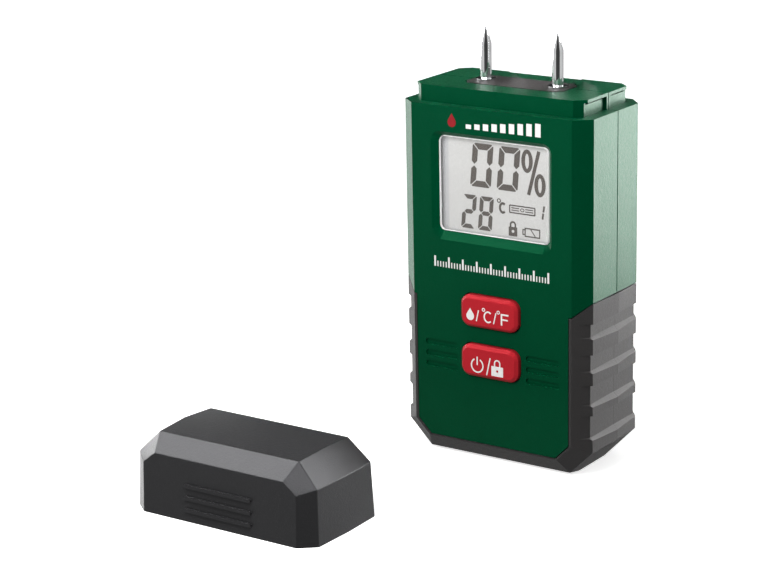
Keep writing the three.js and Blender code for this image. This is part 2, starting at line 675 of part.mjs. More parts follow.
function batteryDoor() {
  const face = HALF_DEPTH;
  const inside = face - DOOR.thick;
  const panel = extrude(roundedRect(DOOR.halfWidth * 2, DOOR.topZ - DOOR.bottomZ, 1.0), DOOR.thick);
  panel.rotateX(Math.PI / 2);
  panel.translate(0, face, (DOOR.topZ + DOOR.bottomZ) / 2);
  const pieces = [solid(panel)];
  for (const side of SIDES) {
    const x = side * DOOR_TAB.x;
    pieces.push(block(
      x - DOOR_TAB.halfWidth, x + DOOR_TAB.halfWidth,
      inside - DOOR_TAB.thick - 0.3, inside + 0.1, DOOR.bottomZ - DOOR_TAB.drop, DOOR.bottomZ + 1.5,
    ));
  }
  const tab = DOOR_LATCH.halfWidth;
  const tabTop = DOOR.topZ + DOOR_LATCH.rise;
  pieces.push(block(-tab, tab, inside - DOOR_LATCH.thick, face - 0.4, DOOR.topZ - 2, tabTop));
  const ridges = [];
  for (let i = 0; i < DOOR_RIDGE.count; i += 1) {
    const z = DOOR.topZ - DOOR_RIDGE.top - i * DOOR_RIDGE.pitch;
    const shape = roundedRect(DOOR_RIDGE.width, DOOR_RIDGE.height, DOOR_RIDGE.radius);
    ridges.push(facePlate(shape, 0, z, face - 0.1, face + DOOR_RIDGE.proud));
  }
  const belowPanel = block(-FAR, FAR, inside - 0.3, FAR, -FAR, DOOR.bottomZ);
  return joined([joined(pieces).subtract(belowPanel), ...ridges]);
}

// ---------------------------------------------------------------- screws

function crossSlot(x, z, y0, y1, length) {
  const half = length / 2;
  const thin = CROSS.halfWidth;
  return [
    block(x - half, x + half, y0, y1, z - thin, z + thin),
    block(x - thin, x + thin, y0, y1, z - half, z + half),
  ];
}

function caseScrew(x, z) {
  const seat = HALF_DEPTH - CASE_SCREW.sink + 0.2;
  const head = rod(CASE_SCREW.head, 'y', seat, seat + CASE_SCREW.headThick, [x, z]);
  const shank = rod(CASE_SCREW.shank, 'y', CASE_SCREW.tipY, seat + 0.1, [x, z]);
  return cutBy(head.add(shank), crossSlot(x, z, seat + CROSS.floor, FAR, CROSS.caseLength));
}

function boardScrew(side) {
  const x = side * BOARD_SCREW.x;
  const seat = BOARD_BACK + 0.15;
  const place = [x, BOARD_SCREW.z];
  const head = rod(BOARD_SCREW.head, 'y', seat, seat + BOARD_SCREW.headThick, place);
  const shank = rod(BOARD_SCREW.shank, 'y', BOARD_SCREW.tipY, seat + 0.1, place);
  return cutBy(head.add(shank), crossSlot(x, BOARD_SCREW.z, seat + CROSS.floor, FAR, CROSS.boardLength));
}

// ---------------------------------------------------------------- protective cap

function capForm(inset) {
  const points = [];
  const add = (x, y, z) => points.push(new THREE.Vector3(x, y, z));
  const base = inset > 0 ? -1 : 0;
  const shrink = inset * 0.6;
  for (const sx of SIDES) {
    for (const sy of SIDES) {
      add(sx * (CAP.halfWidth - CAP.cutX - shrink), sy * (CAP.halfDepth - inset), base);
      add(sx * (CAP.halfWidth - inset), sy * (CAP.halfDepth - CAP.cutY - shrink), base);
      add(sx * (CAP.sideX - inset), sy * (CAP.wallY - CAP.cutY - shrink), CAP.sideTopZ - inset);
      add(sx * (CAP.cornerX - shrink), sy * (CAP.wallY - inset), CAP.cornerZ - inset);
      add(sx * (CAP.foldX - shrink), sy * (CAP.wallY - inset), CAP.wallTopZ - inset);
      add(sx * (CAP.roofX - shrink), sy * (CAP.roofY - shrink), CAP.roofZ - inset * 0.75);
    }
    add(sx * (CAP.roofX + CAP.bulge - shrink), 0, CAP.roofMidZ - inset * 0.75);
    add(sx * (CAP.sideX + CAP.bulge - inset), 0, CAP.sideTopZ - inset);
    add(sx * (CAP.halfWidth + CAP.bulge - inset), 0, base);
  }
  return hull(points);
}

function protectiveCap() {
  const ribs = [];
  for (let i = 0; i < CAP.ribCount; i += 1) {
    const shape = roundedRect(CAP.ribX * 2, CAP.ribHeight, CAP.ribHeight / 2 - 0.01);
    const lean = (CAP.halfDepth - CAP.wallY) / CAP.wallTopZ;
    const z = CAP.ribLowZ + i * CAP.ribPitch;
    const wall = CAP.halfDepth - lean * z;
    ribs.push(facePlate(shape, 0, z, -wall - CAP.ribProud, -wall + 0.4));
  }
  return joined([capForm(0), ...ribs]).subtract(capForm(CAP.wall)).translate([CAP.x, CAP.y, 0]);
}

// ---------------------------------------------------------------- assembly

const group = new THREE.Group();

function place(name, shape, material) {
  group.add(meshOf(name, shape, material));
}

place('front_shell', frontShell(), greenPlastic());
place('rear_shell', rearShell(), greenPlastic());
place('front_grip', gripBody().intersect(frontHalf(GRIP_SEAM)), gripRubber());
place('rear_grip', gripBody().intersect(rearHalf(GRIP_SEAM)), gripRubber());

place('display_window', displayWindow(), clearPlastic());
place('lcd_panel', lcdPanel(), displayGlass());
place('lcd_holder', lcdHolder(), whitePlastic());
place('lcd_connector', lcdConnector(), darkPlastic());

place('circuit_board', circuitBoard(), boardGreen());
place('controller_chip', controllerChip(), darkPlastic());
place('amplifier_chip', boardPart(-15.6, 66, 4, 5, 1.5), darkPlastic());
place('quartz_crystal', quartzCrystal(), springSteel());
place('temperature_sensor', boardPart(16, 70, 1.4, 2.6, 0.9), darkPlastic());
for (const [name, z] of [['mode', MODE_Z], ['power', POWER_Z]]) {
  place(`${name}_button`, keyCap(z), redPlastic());
  place(`${name}_switch`, tactSwitch(z), darkPlastic());
  place(`${name}_plunger`, switchPlunger(z), whitePlastic());
}

place('electrode_holder', electrodeHolder(), darkPlastic());
for (const [name, side] of [['left', -1], ['right', 1]]) {
  place(`${name}_pin`, electrodePin(side), pinSteel());
  place(`${name}_socket`, pinSocket(side), brass());
  place(`${name}_contact_strip`, contactStrip(side), springSteel());
  place(`board_screw_${name}`, boardScrew(side), screwSteel());
}

const cellLow = LOW_PLATE_Z + CONTACT.thick + GAP;
const cellHigh = HIGH_PLATE_Z - GAP;
place('battery_1', cell(-CELL.x, cellHigh - CELL.length, true), cellSleeve());
place('battery_2', cell(CELL.x, cellLow + CELL.length, false), cellSleeve());
const { innerX, outerX } = CONTACT;
place('battery_link', contactPlate(-outerX, outerX, HIGH_PLATE_Z), springSteel());
place('negative_contact', contactPlate(-outerX, -innerX, LOW_PLATE_Z), springSteel());
place('positive_contact', contactPlate(innerX, outerX, LOW_PLATE_Z), springSteel());
place('lower_spring', coilSpring(-CELL.x, cellLow + 0.2, cellHigh - CELL.length - 0.5), springSteel());
place('upper_spring', coilSpring(CELL.x, cellHigh - 0.2, cellLow + CELL.length + 0.5), springSteel());
place('battery_door', batteryDoor(), greenPlastic());

screwPlaces().forEach(([x, z], index) => {
  place(`case_screw_${index + 1}`, caseScrew(x, z), screwSteel());
});

place('protective_cap', protectiveCap(), capPlastic());

export default group;
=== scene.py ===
"""Looks of the pocket moisture meter and its protective cap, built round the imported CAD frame.

Blender objects are in metres, in the row frame: the meter stands on z = 0, its display faces -Y.
Marks and the display's symbols are laid out in millimetres and scaled by MM when they are built.
"""

import math

import bmesh
import bpy
from mathutils import Matrix, Vector
from mathutils.geometry import tessellate_polygon


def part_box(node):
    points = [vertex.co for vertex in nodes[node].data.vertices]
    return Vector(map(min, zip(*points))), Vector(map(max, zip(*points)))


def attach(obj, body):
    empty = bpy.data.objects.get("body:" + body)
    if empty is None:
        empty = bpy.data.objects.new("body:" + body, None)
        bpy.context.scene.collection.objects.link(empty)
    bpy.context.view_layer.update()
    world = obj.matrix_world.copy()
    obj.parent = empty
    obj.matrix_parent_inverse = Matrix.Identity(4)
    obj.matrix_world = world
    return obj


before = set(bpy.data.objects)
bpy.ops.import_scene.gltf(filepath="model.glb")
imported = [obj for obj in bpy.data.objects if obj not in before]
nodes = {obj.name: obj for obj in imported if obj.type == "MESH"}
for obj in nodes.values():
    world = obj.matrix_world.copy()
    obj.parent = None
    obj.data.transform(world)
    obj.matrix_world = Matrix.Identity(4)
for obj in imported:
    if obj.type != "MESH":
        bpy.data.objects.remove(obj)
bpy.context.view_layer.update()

MM = 0.001
UP = Vector((0, 0, 1))


def middle(name):
    """The middle of a node's box, in millimetres."""
    low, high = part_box(name)
    return tuple((low[axis] + high[axis]) / 2 / MM for axis in range(3))


def front_of(name):
    """The y of a node's foremost face, in millimetres."""
    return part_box(name)[0][1] / MM


def towards(azimuth, elevation):
    """A direction in degrees: azimuth from the front towards +X, and elevation."""
    a = math.radians(azimuth)
    e = math.radians(elevation)
    return Vector((math.sin(a) * math.cos(e), -math.cos(a) * math.cos(e), math.sin(e)))


# ------------------------------------------------------------------ camera

VIEW_AZIMUTH = 34.4
VIEW_ELEVATION = 16.1
VIEW_ROLL = -1.16
VIEW_DISTANCE = 0.5293
VIEW_RIGHT = -0.03004
VIEW_UP = 0.03503
LENS = 112.15
SENSOR_WIDTH = 36


def make_camera():
    """A long lens at the viewing angle, moved sideways and up, with no shift."""
    back = towards(VIEW_AZIMUTH, VIEW_ELEVATION)
    right = (-back).cross(UP).normalized()
    right = Matrix.Rotation(math.radians(VIEW_ROLL), 3, back) @ right
    up = back.cross(right)
    data = bpy.data.cameras.new("camera")
    data.lens = LENS
    data.sensor_width = SENSOR_WIDTH
    data.clip_start = 0.01
    data.clip_end = 20
    camera = bpy.data.objects.new("camera", data)
    bpy.context.scene.collection.objects.link(camera)
    matrix = Matrix((right, up, back)).transposed().to_4x4()
    matrix.translation = right * VIEW_RIGHT + up * VIEW_UP + back * VIEW_DISTANCE
    camera.matrix_world = matrix
    bpy.context.scene.camera = camera


# ------------------------------------------------------------------ floor and light

FLOOR_REACH = 6.0
STAGE_MIDDLE = Vector((-0.01, -0.03, 0.04))
CAP_BEVEL = Vector((-0.009, -0.060, 0.014))
PIN_RISE = 0.002               # the near cards of a pin aim this far above the middle of its box
LEFT_PIN = Vector(middle("left_pin")) * MM + UP * PIN_RISE
RIGHT_PIN = Vector(middle("right_pin")) * MM + UP * PIN_RISE
WORLD_SEEN = 1.0
WORLD_DIFFUSE = 0.52
WORLD_REFLECTED = 0.78
FLOOR_GLOW = 0.70              # lifts the floor towards the white of the studio
KEY = {"azimuth": 8, "elevation": 40, "distance": 0.132, "size": 0.08, "power": 0.26}

# Cards that only reflections see, and only from the side that faces what they are aimed at. The flags
# are dark cards that stand before the white studio. Each row holds the aim, azimuth, elevation,
# distance, width, height and brightness.
CARDS = {
    "right_card": (STAGE_MIDDLE, 147, 1, 0.42, 0.20, 0.22, 21.0),
    "left_card": (STAGE_MIDDLE, -117, -10, 0.42, 0.30, 0.26, 3.0),
    "bevel_card": (STAGE_MIDDLE, -59, 50, 0.50, 0.28, 0.34, 18.0),
    "high_card": (STAGE_MIDDLE, 160, 34, 0.50, 0.26, 0.18, 34.0),
    "cap_card": (CAP_BEVEL, 132, 48, 0.040, 0.020, 0.023, 17.0),
    "diamond_card": (CAP_BEVEL, 27, 53, 0.30, 0.15, 0.15, 16.0),
    "cap_left_card": (CAP_BEVEL, -97, 17, 0.30, 0.15, 0.12, 15.0),
    "pin_card_left": (STAGE_MIDDLE, -55, -5, 0.55, 0.90, 0.11, 0.7),
    "pin_card_right": (STAGE_MIDDLE, 108, -5, 0.50, 0.44, 0.14, 0.70),
    "left_pin_card": (LEFT_PIN, 146, -8, 0.008, 0.0065, 0.014, 0.6),
    "right_pin_card": (RIGHT_PIN, 146, -8, 0.008, 0.0065, 0.014, 0.6),
    "low_flag": (STAGE_MIDDLE, 191, -22, 0.55, 0.56, 0.56, 0.25),
    "back_flag": (STAGE_MIDDLE, -142, 20, 0.62, 0.90, 0.50, 0.03),
    "front_flag": (STAGE_MIDDLE, 36, -2, 0.50, 0.80, 0.50, 0.06),
}


def facing_back(aim, azimuth, elevation, distance):
    """A place at that distance from the aim, turned so that its -Z looks at the aim."""
    direction = towards(azimuth, elevation)
    turn = direction.to_track_quat("Z", "Y").to_matrix().to_4x4()
    return Matrix.Translation(aim + direction * distance) @ turn


def stage_quad(name, half_x, half_y, material):
    """A rectangle in the XY plane that belongs to the studio."""
    mesh = bpy.data.meshes.new(name)
    corners = [(-half_x, -half_y, 0), (half_x, -half_y, 0), (half_x, half_y, 0), (-half_x, half_y, 0)]
    mesh.from_pydata(corners, [], [(0, 1, 2, 3)])
    mesh.materials.append(material)
    quad = bpy.data.objects.new(name, mesh)
    bpy.context.scene.collection.objects.link(quad)
    return quad


def make_floor():
    """A pale floor, left out of bounced light so that upright faces keep their contrast."""
    floor = stage_quad("floor", FLOOR_REACH, FLOOR_REACH, floor_material())
    floor.visible_diffuse = False
    floor.visible_glossy = False


def make_cards():
    """The cards light nothing: they show in reflections only."""
    for name, (aim, azimuth, elevation, distance, width, height, strength) in CARDS.items():
        card = stage_quad(name, width / 2, height / 2, card_material(name, strength))
        card.matrix_world = facing_back(aim, azimuth, elevation, distance)
        card.visible_camera = False
        card.visible_diffuse = False
        card.visible_transmission = False
        card.visible_shadow = False


def make_key_light():
    """One soft lamp above the display; it lights the pieces but doesn't show in reflections."""
    data = bpy.data.lights.new("key", "AREA")
    data.energy = KEY["power"]
    data.size = KEY["size"]
    lamp = bpy.data.objects.new("key", data)
    lamp.matrix_world = facing_back(STAGE_MIDDLE, KEY["azimuth"], KEY["elevation"], KEY["distance"])
    lamp.visible_camera = False
    lamp.visible_glossy = False
    bpy.context.scene.collection.objects.link(lamp)


def make_world():
    """A white studio that is softer in bounced light and in reflections than it looks."""
    world = bpy.data.worlds.new("studio")
    bpy.context.scene.world = world
    world.use_nodes = True
    tree = world.node_tree
    path = tree.nodes.new("ShaderNodeLightPath")
    strength = WORLD_DIFFUSE
    for ray, level in (("Is Camera Ray", WORLD_SEEN), ("Is Glossy Ray", WORLD_REFLECTED)):
        step = tree.nodes.new("ShaderNodeMath")
        step.operation = "MULTIPLY_ADD"
        tree.links.new(path.outputs[ray], step.inputs[0])
        step.inputs[1].default_value = level - WORLD_DIFFUSE
        if isinstance(strength, float):
            step.inputs[2].default_value = strength
        else:
            tree.links.new(strength, step.inputs[2])
        strength = step.outputs["Value"]
    background = tree.nodes["Background"]
    background.inputs["Color"].default_value = (1, 1, 1, 1)
    tree.links.new(strength, background.inputs["Strength"])
    bpy.context.scene.view_settings.view_transform = "Standard"


# ------------------------------------------------------------------ material tools

def linear(code):
    """The linear colour of a hex code."""
    values = [int(code[i:i + 2], 16) / 255 for i in (1, 3, 5)]
    return tuple(v / 12.92 if v <= 0.04045 else ((v + 0.055) / 1.055) ** 2.4 for v in values)


def shaded(colour, factor):
    return tuple(min(value * factor, 1.0) for value in colour)


SHEEN = 0.6                    # the brightest channel of a dark plastic's tinted reflection


class Nodes:
    """A short way to build a material's node tree."""

    def __init__(self, name):
        self.material = bpy.data.materials.new(name)
        self.material.use_nodes = True
        self.tree = self.material.node_tree
        self.shader = self.tree.nodes["Principled BSDF"]

    def add(self, kind, inputs=None, **settings):
        node = self.tree.nodes.new(kind)
        for key, value in settings.items():
            setattr(node, key, value)
        for key, value in (inputs or {}).items():
            self.feed(node.inputs[key], value)
        return node

    def feed(self, socket, value):
        if isinstance(value, bpy.types.NodeSocket):
            self.tree.links.new(value, socket)
        else:
            socket.default_value = value

    def set(self, **values):
        for key, value in values.items():
            self.feed(self.shader.inputs[key.replace("_", " ")], value)

    def place(self):
        return self.add("ShaderNodeTexCoord").outputs["Object"]

    def axis(self, letter):
        """One of the object's own coordinates, in metres."""
        return self.add("ShaderNodeSeparateXYZ", {"Vector": self.place()}).outputs[letter]

    def facing(self, letter):
        """How squarely a face points along one of the object's own axes, 0 to 1."""
        normal = self.add("ShaderNodeTexCoord").outputs["Normal"]
        part = self.add("ShaderNodeSeparateXYZ", {"Vector": normal}).outputs[letter]
        return self.math("ABSOLUTE", part)

    def math(self, operation, first, second=0.0):
        node = self.add("ShaderNodeMath", {0: first, 1: second}, operation=operation)
        return node.outputs["Value"]

    def noise(self, scale, detail=2.0, roughness=0.5, stretch=(1, 1, 1)):
        mapping = self.add("ShaderNodeMapping", {"Vector": self.place(), "Scale": stretch})
        found = self.add("ShaderNodeTexNoise", {
            "Vector": mapping.outputs["Vector"], "Scale": scale, "Detail": detail, "Roughness": roughness,
        })
        return found.outputs["Fac"]

    def specks(self, scale):
        """Distance to the nearest of many scattered points, 0 at a point."""
        found = self.add("ShaderNodeTexVoronoi", {"Vector": self.place(), "Scale": scale})
        return found.outputs["Distance"]

    def stripes(self, direction, scale, distortion=0.0):
        found = self.add("ShaderNodeTexWave", {
            "Vector": self.place(), "Scale": scale, "Distortion": distortion,
        }, bands_direction=direction)
        return found.outputs["Fac"]

    def span(self, value, low, high, start=0.0, end=1.0):
        return self.add("ShaderNodeMapRange", {
            "Value": value, "From Min": start, "From Max": end, "To Min": low, "To Max": high,
        }).outputs["Result"]

    def ramp(self, value, first, second, start=0.3, end=0.7):
        node = self.add("ShaderNodeValToRGB", {"Fac": value})
        node.color_ramp.elements[0].position = start
        node.color_ramp.elements[0].color = (*first, 1)
        node.color_ramp.elements[1].position = end
        node.color_ramp.elements[1].color = (*second, 1)
        return node.outputs["Color"]

    def blend(self, share, first, second):
        """The first colour where share is 0, the second where it is 1."""
        node = self.add("ShaderNodeMix", data_type="RGBA")
        self.feed(node.inputs[0], share)
        self.feed(node.inputs[6], first)
        self.feed(node.inputs[7], second)
        return node.outputs[2]

    def bump(self, height, strength, distance, normal=None):
        inputs = {"Height": height, "Strength": strength, "Distance": distance}
        if normal is not None:
            inputs["Normal"] = normal
        return self.add("ShaderNodeBump", inputs).outputs["Normal"]


# ------------------------------------------------------------------ materials

def floor_material():
    """Matt paper, lifted a little by a glow of its own."""
    m = Nodes("floor")
    m.set(Base_Color=(0.95, 0.95, 0.95, 1), Specular_IOR_Level=0.1)
    m.set(Emission_Color=(1, 1, 1, 1), Emission_Strength=FLOOR_GLOW)
    m.set(Roughness=m.span(m.noise(3.0), 0.75, 0.85))
    return m.material


def card_material(name, strength):
    """Glows on its back, which faces the aim, and is clear from the other side."""
    m = Nodes(name)
    glow = m.add("ShaderNodeEmission", {"Color": (1, 1, 1, 1), "Strength": strength})
    clear = m.add("ShaderNodeBsdfTransparent")
    behind = m.add("ShaderNodeNewGeometry").outputs["Backfacing"]
    mix = m.add("ShaderNodeMixShader", {0: behind, 1: clear.outputs[0], 2: glow.outputs[0]})
    m.tree.links.new(mix.outputs[0], m.tree.nodes["Material Output"].inputs["Surface"])
    m.material.cycles.emission_sampling = "NONE"
    return m.material


def moulded(name, colour, roughness, specular, grain, depth, variation=0.06):
    """Moulded plastic: soft colour variation, spark-eroded grain and fine pits."""
    m = Nodes(name)
    base = linear(colour)
    wide = m.ramp(m.noise(70.0, 3.0), shaded(base, 1 - variation), shaded(base, 1 + variation))
    fine = m.noise(grain, 4.0, 0.65)
    speckled = m.blend(m.span(fine, 0.0, 0.5, 0.35, 0.8), wide, (*shaded(base, 1 + 4 * variation), 1))
    m.set(Base_Color=speckled, Specular_IOR_Level=specular)
    m.set(Specular_Tint=(*shaded(base, SHEEN / max(base)), 1))
    m.set(Roughness=m.span(fine, roughness - 0.07, roughness + 0.07, 0.3, 0.7))
    coarse = m.bump(m.noise(grain * 0.45, 2.0, 0.5), 0.5, depth)
    m.set(Normal=m.bump(fine, 0.6, depth, coarse))
    return m.material


def metal(name, colour, roughness, grain, stretch=(1, 1, 1), tarnish=0.85):
    """Bare metal with fine scratches and slightly duller patches."""
    m = Nodes(name)
    base = linear(colour)
    m.set(Base_Color=m.ramp(m.noise(400.0, 3.0), shaded(base, tarnish), base), Metallic=1.0)
    scratches = m.noise(grain, 3.0, 0.6, stretch)
    m.set(Roughness=m.span(scratches, roughness * 0.6, roughness * 1.4, 0.3, 0.7))
    m.set(Normal=m.bump(scratches, 0.1, 0.000005))
    return m.material


def clear_cover():
    """Clear lens: transparent on its face; along its moulded rim milk-white, with a faint painted glow
    for a lit edge.
    """
    m = Nodes("clear_plastic")
    gloss = m.add("ShaderNodeBsdfGlossy", {"Color": (1, 1, 1, 1), "Roughness": 0.06})
    through = m.add("ShaderNodeBsdfTransparent", {"Color": (0.97, 0.975, 0.97, 1)})
    edge = m.add("ShaderNodeFresnel", {"IOR": 1.45}).outputs["Fac"]
    share = m.math("MULTIPLY", edge, m.span(m.noise(40.0), 0.7, 0.8))
    face = m.add("ShaderNodeMixShader", {0: share, 1: through.outputs[0], 2: gloss.outputs[0]})
    # painted highlight: the rim's white and its small emission stand for the light its rounded edge
    # catches
    rim = m.add("ShaderNodeBsdfPrincipled", {
        "Base Color": (0.85, 0.85, 0.84, 1), "Roughness": 0.3,
        "Emission Color": (1, 1, 1, 1), "Emission Strength": 0.22,
    })
    milky_lit_rim = m.span(m.facing("Y"), 1.0, 0.0, 0.90, 0.99)
    mix = m.add("ShaderNodeMixShader", {0: milky_lit_rim, 1: face.outputs[0], 2: rim.outputs[0]})
    m.tree.links.new(mix.outputs[0], m.tree.nodes["Material Output"].inputs["Surface"])
    return m.material


VIEWING_LEFT = 2.6             # from the display's left edge to its viewing area, in millimetres
VIEWING_BOTTOM = 1.6
BORDER_BLUR = 0.4


def display_glass():
    """Reflective display: pearly grey, with the shaded borders of its viewing area."""
    m = Nodes("display")
    low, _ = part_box("lcd_panel")
    left = low[0] + VIEWING_LEFT * MM
    bottom = low[2] + VIEWING_BOTTOM * MM
    pearl = m.ramp(m.noise(1500.0, 3.0), linear("#bfbdbd"), linear("#c6c4c4"))
    from_left = m.span(m.axis("X"), 1.0, 0.0, left, left + BORDER_BLUR * MM)
    from_bottom = m.span(m.axis("Z"), 1.0, 0.0, bottom, bottom + BORDER_BLUR * MM)
    border = m.math("MAXIMUM", from_left, m.math("MULTIPLY", from_bottom, 0.6))
    m.set(Base_Color=m.blend(border, pearl, (*linear("#b4b3b6"), 1)))
    m.set(Roughness=m.span(m.noise(300.0), 0.35, 0.45))
    return m.material


def printed(name, colour, roughness=0.5):
    """Ink: nearly even, with the slight mottling of a pad print."""
    m = Nodes(name)
    base = linear(colour)
    m.set(Base_Color=m.ramp(m.noise(1800.0, 2.0), shaded(base, 0.93), base))
    m.set(Roughness=m.span(m.noise(900.0), roughness - 0.06, roughness + 0.06))
    m.set(Specular_IOR_Level=0.25)
    return m.material


def board_material():
    """Solder mask with copper tracks under it, tinned pads and vias."""
    m = Nodes("board")
    mask = m.ramp(m.noise(120.0, 3.0), linear("#12482a"), linear("#175534"))
    upright = m.span(m.stripes("X", 260.0, 3.0), 0.0, 1.0, 0.80, 0.86)
    level = m.span(m.stripes("Z", 190.0, 3.0), 0.0, 1.0, 0.84, 0.90)
    present = m.span(m.noise(90.0), 0.0, 1.0, 0.45, 0.5)
    tracks = m.math("MULTIPLY", m.math("MAXIMUM", upright, level), present)
    with_tracks = m.blend(tracks, mask, (*linear("#2f7d4d"), 1))
    pads = m.span(m.specks(330.0), 1.0, 0.0, 0.20, 0.24)
    m.set(Base_Color=m.blend(pads, with_tracks, (*linear("#c9ccd0"), 1)))
    m.set(Metallic=pads, Roughness=m.span(pads, 0.35, 0.25))
    m.set(Normal=m.bump(m.math("MAXIMUM", tracks, pads), 0.5, 0.00004))
    return m.material


STRIPE_BLUR = 0.003            # share of the cell's length over which a printed edge fades


def cell_material():
    """Shrink sleeve with a dark band at one end, and bare steel ends."""
    m = Nodes("cell_sleeve")
    low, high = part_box("battery_1")
    sleeve = m.ramp(m.noise(90.0, 2.0), linear("#7f8a94"), linear("#8e99a2"))
    height = m.span(m.axis("Z"), 0.0, 1.0, low[2], high[2])

    def stripe(start, end):
        above = m.span(height, 0.0, 1.0, start, start + STRIPE_BLUR)
        below = m.span(height, 1.0, 0.0, end, end + STRIPE_BLUR)
        return m.math("MULTIPLY", above, below)

    dark = m.math("MAXIMUM", stripe(0.60, 0.88), stripe(0.55, 0.57))
    banded = m.blend(dark, sleeve, (*linear("#23405a"), 1))
    ends = m.span(m.facing("Z"), 0.0, 1.0, 0.6, 0.7)
    m.set(Base_Color=m.blend(ends, banded, (*linear("#c8cacc"), 1)))
    m.set(Metallic=ends, Roughness=m.span(m.noise(700.0), 0.25, 0.38))
    m.set(Normal=m.bump(m.noise(250.0, 2.0), 0.1, 0.00005))
    return m.material


def connector_material():
    """Elastomer strip: conducting and insulating layers in turn."""
    m = Nodes("connector")
    layers = m.stripes("X", 1400.0)
    m.set(Base_Color=m.ramp(layers, linear("#191717"), linear("#b58f88"), 0.45, 0.55))
    m.set(Roughness=m.span(m.noise(600.0), 0.55, 0.7))
    m.set(Normal=m.bump(layers, 0.3, 0.00002))
    return m.material


def potting():
    """Black resin over the bare chip: glossy, with a slightly uneven skin."""
    m = Nodes("potting")
    m.set(Base_Color=m.ramp(m.noise(300.0), linear("#0d0d0e"), linear("#1a1a1b")))
    m.set(Roughness=m.span(m.noise(500.0), 0.15, 0.3))
    m.set(Normal=m.bump(m.noise(500.0, 3.0), 0.5, 0.0001))
    return m.material


# ------------------------------------------------------------------ flat shapes, in millimetres

ARC_STEP = math.radians(9)


def arc(x, z, radius_x, radius_z, start, end):
    """Points along an ellipse, from one angle in degrees to another."""
    a = math.radians(start)
    b = math.radians(end)
    count = max(2, math.ceil(abs(b - a) / ARC_STEP))
    turns = [a + (b - a) * i / count for i in range(count + 1)]
    return [(x + radius_x * math.cos(t), z + radius_z * math.sin(t)) for t in turns]


def disc(x, z, radius_x, radius_z=None):
    """A shape of one closed loop: a round or oval disc."""
    return [arc(x, z, radius_x, radius_z or radius_x, 0, 360)[:-1]]


def ring(x, z, radius_x, radius_z, stroke):
    """A shape of two loops: a disc and the hole in it."""
    outer = disc(x, z, radius_x, radius_z)[0]
    inner = disc(x, z, radius_x - stroke, radius_z - stroke)[0]
    return [outer, inner]


def bow(x, z, radius_x, radius_z, start, end, stroke):
    """An open ring."""
    outer = arc(x, z, radius_x, radius_z, start, end)
    inner = arc(x, z, radius_x - stroke, radius_z - stroke, end, start)
    return [outer + inner]


def bar(x0, z0, x1, z1, stroke):
    """A straight stroke with square ends."""
    length = math.hypot(x1 - x0, z1 - z0)
    nx = -(z1 - z0) / length * stroke / 2
    nz = (x1 - x0) / length * stroke / 2
    return [[(x0 + nx, z0 + nz), (x0 - nx, z0 - nz), (x1 - nx, z1 - nz), (x1 + nx, z1 + nz)]]


def rounded(x, z, width, height, radius):
    """The outline of a rectangle with round corners, centred on x, z."""
    points = []
    for sx, sz, start in ((1, 1, 0), (-1, 1, 90), (-1, -1, 180), (1, -1, 270)):
        cx = x + sx * (width / 2 - radius)
        cz = z + sz * (height / 2 - radius)
        points += arc(cx, cz, radius, radius, start, start + 90)
    return points


def box_outline(x, z, width, height, radius, stroke):
    inner = rounded(x, z, width - 2 * stroke, height - 2 * stroke, max(radius - stroke, 0.02))
    return [rounded(x, z, width, height, radius), inner]


def drop(x, z, radius, tip):
    """A water drop: a circle at x, z drawn out to a point above it."""
    lean = math.degrees(math.acos(radius / tip))
    return [[(x, z + tip)] + arc(x, z, radius, radius, 90 + lean, 450 - lean)]


def moved(shapes, x, z):
    return [[[(px + x, pz + z) for px, pz in loop] for loop in shape] for shape in shapes]


def leaning(shapes, lean):
    return [[[(px + lean * pz, pz) for px, pz in loop] for loop in shape] for shape in shapes]


SEGMENTS_OF = {
    "0": "abcdef",
    "1": "bc",
    "2": "abged",
    "8": "abcdefg",
}


def digit(character, width, height, stroke, gap):
    """A seven-segment digit whose lower left corner is at 0, 0."""
    half = height / 2
    chip = stroke * 0.3
    edge = stroke / 2
    top = [
        (chip + gap, height),
        (width - chip - gap, height),
        (width - chip / 2 - gap, height - chip / 2),
        (width - stroke - gap, height - stroke),
        (stroke + gap, height - stroke),
        (chip / 2 + gap, height - chip / 2),
    ]
    upper_left = [
        (0, height - chip - gap),
        (chip / 2, height - chip / 2 - gap),
        (stroke, height - stroke - gap),
        (stroke, half + edge + gap),
        (edge, half + gap),
        (0, half + edge + gap),
    ]
    middle_bar = [
        (edge + gap, half),
        (stroke + gap, half + edge),
        (width - stroke - gap, half + edge),
        (width - edge - gap, half),
        (width - stroke - gap, half - edge),
        (stroke + gap, half - edge),
    ]

    def across(points):
        return [(width - x, z) for x, z in points]

    def below(points):
        return [(x, height - z) for x, z in points]

    found = {
        "a": top, "b": across(upper_left), "c": below(across(upper_left)), "d": below(top),
        "e": below(upper_left), "f": upper_left, "g": middle_bar,
    }
    return [[found[letter]] for letter in SEGMENTS_OF[character]]


def degrees_celsius(x, z, width, height, stroke, dot):
    """The unit sign: a small ring and an open round stroke, whose lower left corner is at x, z."""
    rx = width / 2 * 1.1
    sign = bow(x + rx, z + height / 2, rx, height / 2, 48, 312, stroke)
    return [ring(x, z + height + dot * 0.45, dot, dot, dot * 0.48), sign]


def padlock(x, z, width, height, shackle_width, shackle_height, stroke, hole):
    """A padlock whose body is centred on x, z, with a round keyhole."""
    body = [rounded(x, z, width, height, 0.12), disc(x, z + 0.05, hole)[0]]
    radius = shackle_width / 2
    top = z + height / 2
    leg = shackle_height - radius
    outer = [(x + radius, top)] + arc(x, top + leg, radius, radius, 0, 180) + [(x - radius, top)]
    inner = [(x - radius + stroke, top)] + arc(x, top + leg, radius - stroke, radius - stroke, 180, 0)
    return [body, [outer + inner + [(x + radius - stroke, top)]]]


# ------------------------------------------------------------------ flat shapes into pieces

